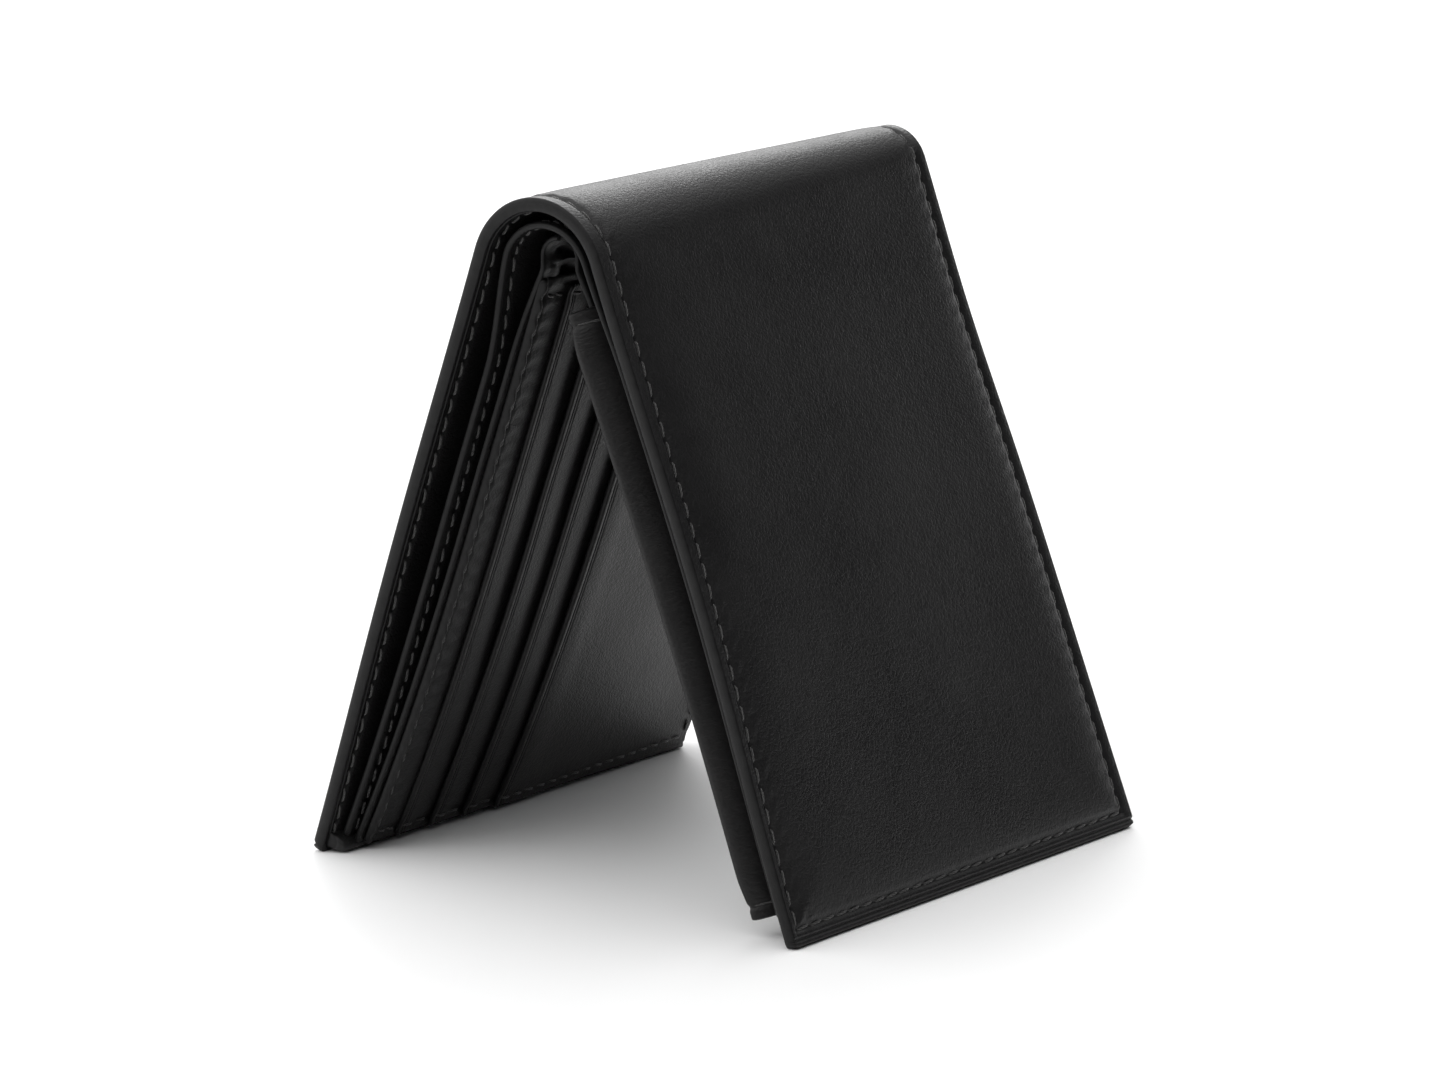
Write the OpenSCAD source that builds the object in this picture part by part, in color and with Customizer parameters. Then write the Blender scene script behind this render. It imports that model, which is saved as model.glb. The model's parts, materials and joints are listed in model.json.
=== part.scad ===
// Bifold wallet standing as a tent on its two short edges. A lined leather cover folds over a soft spine.
// Two bill compartments open along the -Y edge, the left half carries card pockets, and the right half
// carries a lift-out passcase that straddles the mouth of a slip pocket.
// +Z is up and the fold runs along Y. The origin is on the surface, under the middle of the fold.
// Depths are measured inwards from the cover's outer face, and drops down each half from the place
// where the flat part of that half meets the curve of the spine.

/* [Wallet] */
// Height of the fold above the surface
tent_h = 103.6; // [95:0.2:115]
// Length of the wallet along the fold
fold_len = 86; // [80:1:100]
// Lean of each half from upright, in degrees
lean = 20; // [17:0.5:22]
// Outer radius of the cover over the spine
spine_r = 12.5; // [12.3:0.1:13.5]
// Angle from the top of the spine to each fold line, in degrees
fold_angle = 55; // [50:1:58]

/* [Leather] */
// Thickness of the cover leather
cover_t = 1.2; // [1:0.05:1.3]
// Thickness of the bill compartment lining
lining_t = 0.8; // [0.5:0.05:0.9]
// Thickness of the bill divider
divider_t = 0.7; // [0.4:0.05:0.8]
// Thickness of the inner wall behind the pockets
wall_t = 0.6; // [0.4:0.05:0.6]
// Thickness of the card panel and the card pockets
pocket_t = 0.65; // [0.4:0.05:0.65]
// Thickness of the cloth linings
cloth_t = 0.2; // [0.1:0.05:0.25]

/* [Card pockets] */
// Distance from the open edge to the first pocket's edge
first_pocket = 11; // [10.5:0.5:12]
// Distance from one pocket's edge to the next
pocket_pitch = 7.6; // [7:0.1:8]
// Depth of the first pocket's edge
pocket_depth = 9.8; // [9.8:0.05:9.9]
// Step in depth from one pocket to the next
pocket_step = 0.27; // [0.26:0.01:0.3]

/* [Passcase] */
// Drop from the spine to the passcase's upper end
case_drop = 6.3; // [6:0.1:12]
// Distance between the passcase's lower end and the cover's lower edge
case_lift = 5; // [4:0.5:8]
// Distance from the open edge to the passcase's rolled edge
case_recess = 2.5; // [1:0.5:3]
// Width of the clear window along the fold
window_w = 56; // [50:1:58]
// Length of the clear window down the half
window_l = 70; // [50:1:74]

/* [Stitching] */
// Distance from an edge to its row of stitches
stitch_in = 2.6; // [2.2:0.1:3]
// Width of the thread
thread_w = 0.5; // [0.3:0.05:0.6]
// Thickness of the thread, which is sunk into the outer leather and lies on the inner leather
thread_h = 0.2; // [0.1:0.05:0.25]

/* [Hidden] */
$fn = 96;

shell_t = cover_t + lining_t;
spine_z = tent_h - spine_r;
half_l = (spine_z + (spine_r - shell_t) * sin(lean)) / cos(lean);
near_y = -fold_len / 2;
far_y = fold_len / 2;
half_arc = 90 - lean;

// The spine and the halves are cut back from the fold line, so that each half can turn.
fold_gap = 2.6;
inner_gap = 9;
groove_rise = 0.3;

// Places of the sheets. Each path lists [y, depth of the sheet's inner face].
divider_near = near_y + 2;
divider_far = far_y - 1.5;
panel_far = far_y - 2;
divider_drop = 0.5;
divider_lift = 2;
wall_drop = 4;
wall_lift = 3;
panel_drop = 3;
panel_lift = 3.3;

divider_left_path = [[divider_near, 5.4], [divider_far, 2.75]];
wall_left_path = [[near_y + 2.5, 8.5], [panel_far, 3.5]];
panel_path = [[near_y + 3.5, 9.3], [panel_far, 4.3]];
last_pocket_far_depth = 5.2;
strip_slope = 0.07;
strip_overlap = 3.8;

divider_right_path = [[divider_near, 3.6], [divider_far, 2.75]];
pinch_y = far_y - 15;
wall_right_path = [[near_y + 5, 7.6], [pinch_y, 7.6], [panel_far, 5.2]];
slip_path = [[near_y + 7, 6.7], [pinch_y, 6.7], [panel_far, 4.3]];
slip_t = 0.8;

case_leaf_t = 0.8;
case_back = 4.8;
case_front = 9.4;
case_frame_t = 0.7;
case_low = half_l - case_lift;
case_roll_r = (case_front - case_back) / 2;
case_roll_y = near_y + case_recess + case_roll_r;
case_back_far = pinch_y - 2;
case_front_far = far_y - 7;
case_mid_y = (case_roll_y + case_front_far) / 2;
case_mid_drop = (case_drop + case_low) / 2;

loop_r = 3.3;
loop_t = 0.7;
loop_leg = 1.6;
loop_z = spine_z + 2.6;
divider_arc_r = spine_r - 3.8;

leather = [0.10, 0.10, 0.11];
inner_leather = [0.14, 0.14, 0.15];
cloth = [0.20, 0.20, 0.21];
thread = [0.30, 0.30, 0.31];
clear = [0.80, 0.86, 0.90, 0.4];

function pocket_y(k) = near_y + first_pocket + pocket_pitch * (k - 1);
function pocket_n(k) = pocket_depth + pocket_step * (k - 1);

// A pocket strip runs a little past the next pocket's edge, and the last one reaches the sewn edge.
function pocket_path(k) = k < 4
    ? [[pocket_y(k), pocket_n(k)],
       [pocket_y(k + 1) + strip_overlap, pocket_n(k) - strip_slope * (pocket_pitch + strip_overlap)]]
    : [[pocket_y(4), pocket_n(4)], [panel_far, last_pocket_far_depth]];

// The closed outline of a sheet with thickness t, from the path of its inner face.
function sheet_outline(path, t) = concat(
    [for (p = path) [spine_r - p[1], p[0]]],
    [for (i = [len(path) - 1 : -1 : 0]) [spine_r - path[i][1] + t, path[i][0]]]);

// Places its children on the right half (side 1) or, mirrored, on the left half (side -1).
// There +X points out of the cover, and Z is 0 where the flat part meets the spine's curve.
module on_half(side) {
    if (side > 0) translate([0, 0, spine_z]) rotate([0, -lean, 0]) children();
    else mirror([1, 0, 0]) translate([0, 0, spine_z]) rotate([0, -lean, 0]) children();
}

// A sheet that follows a path across the half, between two drops.
module sheet(path, t, drop0, drop1) {
    translate([0, 0, -drop1]) linear_extrude(drop1 - drop0) polygon(sheet_outline(path, t));
}

// A curved sheet around the Y axis, from angle a0 to a1 measured from +X towards +Z.
module arc_sheet(r_out, t, a0, a1, y0, y1) {
    translate([0, y1, 0]) rotate([90, 0, 0]) rotate([0, 0, a0])
        rotate_extrude(angle = a1 - a0) translate([r_out - t, 0]) square([t, y1 - y0]);
}

// A thread row down a sheet, y0 from its middle line, or across it when y1 is given.
module thread_down(path, y, drop0, drop1) {
    ends = [y - thread_w / 2, y + thread_w / 2];
    sheet([for (e = ends) [e, lookup(e, path) + thread_h]], thread_h, drop0, drop1);
}

module thread_across(path, y0, y1, drop) {
    sheet([for (e = [y0, y1]) [e, lookup(e, path) + thread_h]], thread_h,
        drop - thread_w / 2, drop + thread_w / 2);
}

// One half of the lined shell: a flat part and the beginning of the curve.
module shell_half(side, depth, t) {
    on_half(side) {
        translate([spine_r - depth - t, near_y, -half_l]) cube([t, fold_len, half_l]);
        arc_sheet(spine_r - depth, t, 0, half_arc - fold_angle - fold_gap, near_y, far_y);
    }
}

module shell_spine(depth, t) {
    reach = fold_angle - fold_gap;
    translate([0, 0, spine_z]) arc_sheet(spine_r - depth, t, 90 - reach, 90 + reach, near_y, far_y);
}

// Rows of thread in the outer face of one half: both long edges, their curve, and the short edge.
// rise takes them above the leather, to cut the groove that the thread lies in.
module half_rows(side, rise) {
    low = half_l - stitch_in;
    inner_r = spine_r - thread_h;
    on_half(side) {
        for (y = [near_y + stitch_in, far_y - stitch_in]) {
            translate([inner_r, y - thread_w / 2, -low]) cube([thread_h + rise, thread_w, low]);
            arc_sheet(spine_r + rise, thread_h + rise, 0, half_arc - fold_angle - fold_gap + rise,
                y - thread_w / 2, y + thread_w / 2);
        }
        translate([inner_r, near_y + stitch_in + thread_w, -low])
            cube([thread_h + rise, fold_len - 2 * stitch_in - 2 * thread_w, thread_w]);
    }
}

module spine_rows(rise) {
    reach = fold_angle - fold_gap + rise;
    translate([0, 0, spine_z]) for (y = [near_y + stitch_in, far_y - stitch_in])
        arc_sheet(spine_r + rise, thread_h + rise, 90 - reach, 90 + reach,
            y - thread_w / 2, y + thread_w / 2);
}

module cover_spine() {
    color(leather) difference() {
        shell_spine(0, cover_t);
        spine_rows(groove_rise);
    }
}

module lining_spine() { color(inner_leather) shell_spine(cover_t, lining_t); }

module divider_spine() {
    reach = fold_angle - inner_gap;
    color(inner_leather) translate([0, 0, spine_z])
        arc_sheet(divider_arc_r, divider_t, 90 - reach, 90 + reach, divider_near, divider_far);
}

// The inner wall is gathered into a narrow loop under the divider.
module inner_wall_spine() {
    y0 = near_y + 3;
    color(inner_leather) translate([0, 0, loop_z]) union() {
        arc_sheet(loop_r, loop_t, 0, 180, y0, panel_far);
        for (x = [-loop_r, loop_r - loop_t])
            translate([x, y0, -loop_leg]) cube([loop_t, panel_far - y0, loop_leg]);
    }
}

module cover_thread_spine() { color(thread) spine_rows(0); }

module cover_half(side) {
    color(leather) difference() {
        shell_half(side, 0, cover_t);
        half_rows(side, groove_rise);
    }
}

module cover_left() { cover_half(-1); }

module lining_left() { color(inner_leather) shell_half(-1, cover_t, lining_t); }

module divider_left() {
    color(inner_leather) on_half(-1)
        sheet(divider_left_path, divider_t, divider_drop, half_l - divider_lift);
}

module inner_wall_left() {
    color(inner_leather) on_half(-1) sheet(wall_left_path, wall_t, wall_drop, half_l - wall_lift);
}

module card_panel() {
    color(leather) on_half(-1) sheet(panel_path, pocket_t, panel_drop, half_l - panel_lift);
}

module card_pocket(k) {
    color(leather) on_half(-1) sheet(pocket_path(k), pocket_t, panel_drop, half_l - panel_lift);
}

// Cloth behind the leather strips, down to the sewn edge.
module pocket_cloth() {
    path = [[pocket_y(4) + strip_overlap + 3, 7.8], [panel_far - 3, 4.8]];
    color(cloth) on_half(-1) sheet(path, cloth_t, panel_drop + 1, half_l - panel_lift - 1);
}

module cover_thread_left() { color(thread) half_rows(-1, 0); }

module divider_thread_left() {
    color(thread) on_half(-1)
        thread_down(divider_left_path, divider_near + stitch_in, 3, half_l - divider_lift - 2);
}

// One row down the panel's edge, and a row at each end that steps over the pockets.
module card_thread() {
    top = panel_drop + 1.5;
    low = half_l - panel_lift - 1.5;
    color(thread) on_half(-1) {
        thread_down(panel_path, near_y + 5.5, top + 1, low - 1);
        for (drop = [top, low]) {
            thread_across(panel_path, near_y + 5.5, pocket_y(1) - 0.5, drop);
            for (k = [1 : 3])
                thread_across(pocket_path(k), pocket_y(k) + 0.5, pocket_y(k + 1) - 0.5, drop);
            thread_across(pocket_path(4), pocket_y(4) + 0.5, panel_far - 1.5, drop);
        }
    }
}

module cover_right() { cover_half(1); }

module lining_right() { color(inner_leather) shell_half(1, cover_t, lining_t); }

module divider_right() {
    color(inner_leather) on_half(1)
        sheet(divider_right_path, divider_t, divider_drop, half_l - divider_lift);
}

module inner_wall_right() {
    color(inner_leather) on_half(1) sheet(wall_right_path, wall_t, wall_drop, half_l - wall_lift);
}

module slip_pocket() {
    color(leather) on_half(1) sheet(slip_path, slip_t, panel_drop, half_l - panel_lift);
}

module cover_thread_right() { color(thread) half_rows(1, 0); }

module divider_thread_right() {
    color(thread) on_half(1)
        thread_down(divider_right_path, divider_near + stitch_in, 3, half_l - divider_lift - 2);
}

module slip_thread() {
    color(thread) on_half(1) for (drop = [panel_drop + 1.5, half_l - panel_lift - 1.5])
        thread_across(slip_path, slip_path[0][0] + 1, pinch_y, drop);
}

// The passcase is one folded strip: a back leaf in the slip pocket, a rolled edge and a front leaf.
module passcase_back_leaf() {
    path = [[case_roll_y, case_back + case_leaf_t], [case_back_far, case_back + case_leaf_t]];
    color(leather) on_half(1) sheet(path, case_leaf_t, case_drop, case_low);
}

module passcase_roll() {
    color(leather) on_half(1) translate([spine_r - case_back - case_roll_r, case_roll_y, -case_low])
        linear_extrude(case_low - case_drop) difference() {
            circle(case_roll_r);
            circle(case_roll_r - case_leaf_t);
            translate([-case_roll_r, 0]) square([2 * case_roll_r, case_roll_r]);
        }
}

module passcase_front_leaf() {
    path = [[case_roll_y, case_front], [case_front_far, case_front]];
    color(leather) on_half(1) sheet(path, case_leaf_t, case_drop, case_low);
}

module passcase_cloth() {
    depth = case_front - case_leaf_t;
    path = [[case_roll_y + 1, depth], [case_front_far - 1, depth]];
    color(cloth) on_half(1) sheet(path, cloth_t, case_drop + 1, case_low - 1);
}

// The clear window lies on the front leaf and its leather frame is sewn over its rim.
module passcase_window() {
    depth = case_front + cloth_t;
    path = [[case_mid_y - window_w / 2 - 1, depth], [case_mid_y + window_w / 2 + 1, depth]];
    color(clear) on_half(1) sheet(path, cloth_t, case_mid_drop - window_l / 2 - 1,
        case_mid_drop + window_l / 2 + 1);
}

module passcase_frame() {
    outer_w = case_front_far - case_roll_y;
    outer_l = case_low - case_drop;
    color(leather) on_half(1)
        translate([spine_r - case_front - cloth_t - case_frame_t, case_mid_y, -case_mid_drop])
            rotate([90, 0, 90]) linear_extrude(case_frame_t) difference() {
                square([outer_w, outer_l], center = true);
                square([window_w, window_l], center = true);
            }
}

module passcase_thread() {
    depth = case_front + cloth_t + case_frame_t;
    path = [[near_y, depth], [far_y, depth]];
    color(thread) on_half(1) {
        for (drop = [case_drop + 2, case_low - 2])
            thread_across(path, case_roll_y + 1, case_front_far - 3, drop);
        thread_down(path, case_front_far - 2, case_drop + 1.5, case_low - 1.5);
    }
}

cover_spine();
lining_spine();
divider_spine();
inner_wall_spine();
cover_thread_spine();
cover_left();
lining_left();
divider_left();
inner_wall_left();
card_panel();
card_pocket(1);  // card_pocket_1
card_pocket(2);  // card_pocket_2
card_pocket(3);  // card_pocket_3
card_pocket(4);  // card_pocket_4
pocket_cloth();
cover_thread_left();
divider_thread_left();
card_thread();
cover_right();
lining_right();
divider_right();
inner_wall_right();
slip_pocket();
cover_thread_right();
divider_thread_right();
slip_thread();
passcase_back_leaf();
passcase_roll();
passcase_front_leaf();
passcase_cloth();
passcase_window();
passcase_frame();
passcase_thread();
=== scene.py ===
"""A black leather bifold wallet that stands as a tent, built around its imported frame.

Lengths inside this script are millimetres, and mesh_from() turns them into metres. A half of the
wallet is described by three numbers: the run along the cover from the top of the fold, the place y
along the fold, and the depth inwards from the cover's outer face.
"""

import json
import math

import bmesh
import bpy
import numpy as np
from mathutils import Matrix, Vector


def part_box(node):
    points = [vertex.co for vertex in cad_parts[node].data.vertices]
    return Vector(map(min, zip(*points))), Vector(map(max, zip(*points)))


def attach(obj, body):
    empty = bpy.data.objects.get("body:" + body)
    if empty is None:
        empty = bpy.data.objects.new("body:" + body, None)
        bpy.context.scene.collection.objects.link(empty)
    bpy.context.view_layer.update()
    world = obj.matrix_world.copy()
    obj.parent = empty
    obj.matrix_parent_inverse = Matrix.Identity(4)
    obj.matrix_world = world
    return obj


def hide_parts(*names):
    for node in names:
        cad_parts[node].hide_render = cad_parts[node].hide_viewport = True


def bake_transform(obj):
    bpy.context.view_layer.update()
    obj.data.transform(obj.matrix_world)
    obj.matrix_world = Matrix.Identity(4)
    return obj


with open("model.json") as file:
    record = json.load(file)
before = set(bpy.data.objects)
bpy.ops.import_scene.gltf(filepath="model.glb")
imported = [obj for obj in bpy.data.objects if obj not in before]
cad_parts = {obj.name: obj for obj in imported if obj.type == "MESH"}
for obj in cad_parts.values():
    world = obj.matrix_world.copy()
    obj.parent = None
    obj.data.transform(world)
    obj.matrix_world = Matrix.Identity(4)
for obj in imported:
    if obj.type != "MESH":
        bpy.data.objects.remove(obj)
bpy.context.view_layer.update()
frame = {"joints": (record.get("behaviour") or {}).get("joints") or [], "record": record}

MM = 0.001
RIGHT, LEFT = 1, -1
BODY = {RIGHT: "right_half", LEFT: "left_half"}
WORD = {RIGHT: "right", LEFT: "left"}

# ---------------------------------------------------------------- the frame's own sizes

FACE = next(m for m in frame["record"]["mounts"] if m["name"] == "right_outer_face")
LEAN = math.asin(FACE["axis"][2])
SPINE_LOW, SPINE_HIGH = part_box("cover_spine")
TOP = SPINE_HIGH.z / MM
NEAR, FAR = SPINE_LOW.y / MM, SPINE_HIGH.y / MM
FACE_OUT = sum(a * p for a, p in zip(FACE["axis"], FACE["pos_m"])) / MM
SPINE_R = (FACE_OUT - TOP * math.sin(LEAN)) / (1 - math.sin(LEAN))
SPINE_Z = TOP - SPINE_R
HALF_ARC = SPINE_R * (math.pi / 2 - LEAN)
SHELL = 2.0
LEG = (SPINE_Z + (SPINE_R - SHELL) * math.sin(LEAN)) / math.cos(LEAN) + 0.3
FOOT = HALF_ARC + LEG
FOOT_X = SPINE_R * math.cos(LEAN) + LEG * math.sin(LEAN)
FOOT_Z = SPINE_Z + SPINE_R * math.sin(LEAN) - LEG * math.cos(LEAN)
# The fold's outer radius at the far edge. It is SPINE_R at the near edge.
FAR_R = 7.0

STITCH_IN = 2.6
FOOT_STITCH = 2.6
EDGE_R = 0.36
PITCH = 3.0
THREAD_R = 0.2
BELLY = {RIGHT: 1.1, LEFT: 0.5}

# ---------------------------------------------------------------- small helpers


def smooth(t):
    """0 below 0, 1 above 1, and a smooth step between them."""
    t = np.clip(t, 0, 1)
    return t * t * (3 - 2 * t)


def mix(a, b, t):
    return a + (b - a) * t


def bump(distance, reach):
    """A soft round hill of height 1, reach wide to each side."""
    return np.exp(-((distance / reach) ** 2))


def ripple(a, b, seed, scale=1.0):
    """A smooth uneven surface between about -1 and 1, the same on every run."""
    source = np.random.default_rng(seed)
    total = 0
    for _ in range(7):
        fa, fb = source.normal(0, 1, 2) / scale
        total = total + np.sin(fa * a + fb * b + source.uniform(0, 6.28))
    return total / 3.2


def along_path(path, y):
    """Depth at y on a path of (y, depth) points."""
    return np.interp(y, [p[0] for p in path], [p[1] for p in path])


def solve_leans(radii):
    """The lean that takes a half from a spine of each radius to the same foot."""
    low, high = np.full_like(radii, 0.2), np.full_like(radii, 0.6)
    for _ in range(40):
        lean = (low + high) / 2
        reach = radii * np.cos(lean) + (FOOT - radii * (math.pi / 2 - lean)) * np.sin(lean)
        low, high = np.where(reach < FOOT_X, lean, low), np.where(reach < FOOT_X, high, lean)
    return (low + high) / 2


RADII = np.linspace(6.0, 13.0, 29)
LEANS = solve_leans(RADII)


def spine_at(y):
    """Outer radius, lean, curve length and centre height of the fold at y. It is tighter far away."""
    radius = mix(SPINE_R, FAR_R, np.clip((y - NEAR) / (FAR - NEAR), 0, 1))
    lean = np.interp(radius, RADII, LEANS)
    arc = radius * (math.pi / 2 - lean)
    centre = FOOT_Z + (FOOT - arc) * np.cos(lean) - radius * np.sin(lean)
    return radius, lean, arc, centre


def half_point(side, run, y, depth):
    """Points on one half. side is RIGHT or LEFT, and the last axis of the result is x, y, z."""
    run, y, depth = np.broadcast_arrays(run, y, depth)
    radius, lean, arc, centre = spine_at(y)
    angle = np.clip(run, 0, arc) / radius
    drop = np.maximum(run - arc, 0)
    belly = BELLY[side] * np.sin(math.pi * np.clip(drop / LEG, 0, 1)) ** 2
    far_away = smooth((y - NEAR) / (FAR - NEAR))
    belly = mix(belly, -0.7 * bump(drop - 24, 20), far_away)
    reach = radius - depth + belly
    x = reach * np.sin(angle) + drop * np.sin(lean)
    z = centre + reach * np.cos(angle) - drop * np.cos(lean)
    return np.stack([side * x, y, z], -1)


# ---------------------------------------------------------------- how a sheet of leather is meshed


def lines(low, high, step, low_r=0.0, high_r=0.0, fine=()):
    """Grid lines from low to high, closer at rounded edges and at each (place, reach, step) in fine."""
    turn = 1 - np.cos(np.radians([0, 20, 40, 60, 75, 90]))
    start = low + low_r * turn if low_r else np.array([low])
    stop = high - high_r * turn[::-1] if high_r else np.array([high])
    first, last = start[-1], stop[0]
    middle = list(np.linspace(first, last, int((last - first) / step) + 2)[1:-1])
    for place, reach, small in fine:
        middle = [v for v in middle if abs(v - place) > reach]
        middle += list(np.arange(place - reach, place + reach + 1e-6, small))
    kept = [first]
    for v in sorted(middle):
        if v - kept[-1] > 0.04 and v < last - 0.04:
            kept.append(v)
    return np.concatenate([start, kept[1:], stop])


def edge_taper(v, low, high, low_r, high_r):
    """Half thickness factor of a sheet whose edges are round, from 0 at an edge to 1."""
    factor = np.ones_like(v)
    if low_r:
        factor = factor * np.sqrt(1 - (1 - np.clip((v - low) / low_r, 0, 1)) ** 2)
    if high_r:
        factor = factor * np.sqrt(1 - (1 - np.clip((high - v) / high_r, 0, 1)) ** 2)
    return factor


def round_corners(a, b, size, rounded_start):
    """Moves the grid's corner squares into quarter circles, in plan."""
    mid_a, mid_b = (a.min() + a.max()) / 2, (b.min() + b.max()) / 2
    half_a, half_b = (a.max() - a.min()) / 2, (b.max() - b.min()) / 2
    p = (np.abs(a - mid_a) - (half_a - size)) / size
    q = (np.abs(b - mid_b) - (half_b - size)) / size
    inside = (p > 0) & (q > 0)
    if not rounded_start:
        inside &= a > mid_a
    p, q = np.clip(p, 0, 1), np.clip(q, 0, 1)
    shift_a = np.where(inside, p * (np.sqrt(1 - q * q / 2) - 1) * size, 0)
    shift_b = np.where(inside, q * (np.sqrt(1 - p * p / 2) - 1) * size, 0)
    return a + np.sign(a - mid_a) * shift_a, b + np.sign(b - mid_b) * shift_b


def mesh_from(name, points, faces, materials, caps=(), face_material=None, values=None):
    """A smooth closed mesh object from points in millimetres. Faces numbered in caps keep sharp rims."""
    mesh = bpy.data.meshes.new(name)
    mesh.from_pydata((np.asarray(points) * MM).tolist(), [], faces)
    for material in materials:
        mesh.materials.append(material)
    if face_material is not None:
        mesh.polygons.foreach_set("material_index", np.asarray(face_material, np.int32))
    for key, value in (values or {}).items():
        value = np.asarray(value, np.float32)
        kind, field = ("FLOAT_VECTOR", "vector") if value.ndim == 2 else ("FLOAT", "value")
        mesh.attributes.new(key, kind, "POINT").data.foreach_set(field, value.ravel())
    work = bmesh.new()
    work.from_mesh(mesh)
    work.faces.ensure_lookup_table()
    for face in work.faces:
        face.smooth = True
    for number in caps:
        work.faces[number].smooth = False
        for edge in work.faces[number].edges:
            edge.smooth = False
    bmesh.ops.recalc_face_normals(work, faces=work.faces)
    work.to_mesh(mesh)
    work.free()
    piece = bpy.data.objects.new(name, mesh)
    bpy.context.scene.collection.objects.link(piece)
    return piece


def sheet(name, a, b, place, thick, materials, outer=None, inner=None, open_start=False,
          corner=0.0, edge_r=None, layer=0.0, seam=None):
    """A closed sheet over the grid lines a and b. place(a, b, offset) gives its points, with the offset
    inwards from its middle. outer and inner raise the two faces. The second material paints the edges."""
    radius = thick / 2 if edge_r is None else edge_r
    ga, gb = np.meshgrid(a, b, indexing="ij")
    taper = edge_taper(ga, a[0], a[-1], 0 if open_start else radius, radius)
    taper = taper * edge_taper(gb, b[0], b[-1], radius, radius)
    pa, pb = round_corners(ga, gb, corner, not open_start) if corner else (ga, gb)
    raised_out = outer(ga, gb) if outer else 0
    raised_in = inner(ga, gb) if inner else 0
    front = place(pa, pb, (thick / 2 + raised_in) * taper)
    back = place(pa, pb, -(thick / 2 + raised_out) * taper)
    rows, cols = ga.shape
    front_id = np.arange(rows * cols).reshape(rows, cols)
    shared = taper <= 1e-9
    back_id = front_id.copy()
    back_id[~shared] = rows * cols + np.arange((~shared).sum())
    points = np.concatenate([front.reshape(-1, 3), back[~shared]])

    def quads(ids):
        return np.stack([ids[:-1, :-1], ids[1:, :-1], ids[1:, 1:], ids[:-1, 1:]], -1).reshape(-1, 4)

    faces = np.concatenate([quads(front_id), quads(back_id)[:, ::-1]]).tolist()
    rim = np.minimum(gb - b[0], b[-1] - gb)
    rim = np.minimum(rim, a[-1] - ga)
    if not open_start:
        rim = np.minimum(rim, ga - a[0])
    centre_rim = (rim[:-1, :-1] + rim[1:, 1:]) / 2
    painted = (centre_rim < radius * 0.98).astype(int).ravel() * (len(materials) > 1)
    face_material = np.concatenate([painted, painted])
    caps = []
    if open_start:
        ring = list(front_id[0]) + [i for i in back_id[0][::-1] if i >= rows * cols]
        faces.append([int(i) for i in ring])
        face_material = np.append(face_material, 0)
        caps = [len(faces) - 1]
    flat = np.stack([ga, gb, np.full_like(ga, layer)], -1)
    flat_back = flat[~shared] + [0, 0, 7.0]
    seam_far = seam(ga, gb) if seam else np.full_like(ga, 9.0)
    values = {
        "flat": np.concatenate([flat.reshape(-1, 3), flat_back]),
        "rim": np.concatenate([rim.ravel(), rim[~shared]]),
        "seam": np.concatenate([np.abs(seam_far).ravel(), np.abs(seam_far)[~shared]]),
    }
    return mesh_from(name, points, faces, materials, caps, face_material, values)


def stitches(name, rows, materials, slant=0.16):
    """One mesh of separate stitches. Those on outer faces take the second material, the same thread
    painted darker with lighter ply tops: painted shade and painted glints.

    A row is (place, along, fixed, start, stop, level, facing). along is "a" or "b", and fixed is a
    number or a function of the place along the row. level(a, b) is the offset of the leather's face,
    and facing is +1 on an inner face.
    """
    sides, stations = 7, np.array([-1, -0.86, -0.6, 0, 0.6, 0.86, 1.0])
    points, faces, flats, shaded_copy_slots = [], [], [], []
    for place, along, fixed, start, stop, level, facing in rows:
        count = max(2, round(abs(stop - start) / PITCH))
        pitch = (stop - start) / count
        for k in range(count):
            centre = start + (k + 0.5) * pitch
            s = centre + stations * pitch * 0.43
            w = (fixed(s) if callable(fixed) else fixed) + slant * stations * facing
            a, b = (s, w) if along == "a" else (w, s)
            rise = (0.14 if facing > 0 else 0.06) * (1 - stations**4) - 0.26 * stations**4
            ground = level(a, b) + facing * rise
            line = place(a, b, ground)
            up = place(a, b, ground + 0.5 * facing) - line
            up /= np.linalg.norm(up, axis=1)[:, None]
            ahead = np.gradient(line, axis=0)
            ahead /= np.linalg.norm(ahead, axis=1)[:, None]
            across = np.cross(ahead, up)
            turns = np.linspace(0, 2 * math.pi, sides, endpoint=False)
            radius = THREAD_R * (1 - 0.30 * stations**6)
            first = len(points)
            ring = (line[:, None] + radius[:, None, None]
                    * (np.cos(turns)[None, :, None] * across[:, None] * 1.1
                       + np.sin(turns)[None, :, None] * up[:, None] * 0.85))
            points.extend(ring.reshape(-1, 3))
            flats.extend(np.stack(np.broadcast_arrays(
                s[:, None], turns[None, :] * THREAD_R, np.float64(k)), -1).reshape(-1, 3))
            for i in range(len(stations) - 1):
                for j in range(sides):
                    n = (j + 1) % sides
                    faces.append([first + i * sides + j, first + i * sides + n,
                                  first + (i + 1) * sides + n, first + (i + 1) * sides + j])
            last = first + (len(stations) - 1) * sides
            faces.append([first + j for j in range(sides)][::-1])
            faces.append([last + j for j in range(sides)])
            # Outer stitches get slot 1, the thread copy with painted shade and painted glints.
            shaded_copy_slots += [int(facing < 0)] * ((len(stations) - 1) * sides + 2)
    return mesh_from(name, points, faces, materials, face_material=shaded_copy_slots, values={"flat": flats})


# ---------------------------------------------------------------- materials


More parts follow.
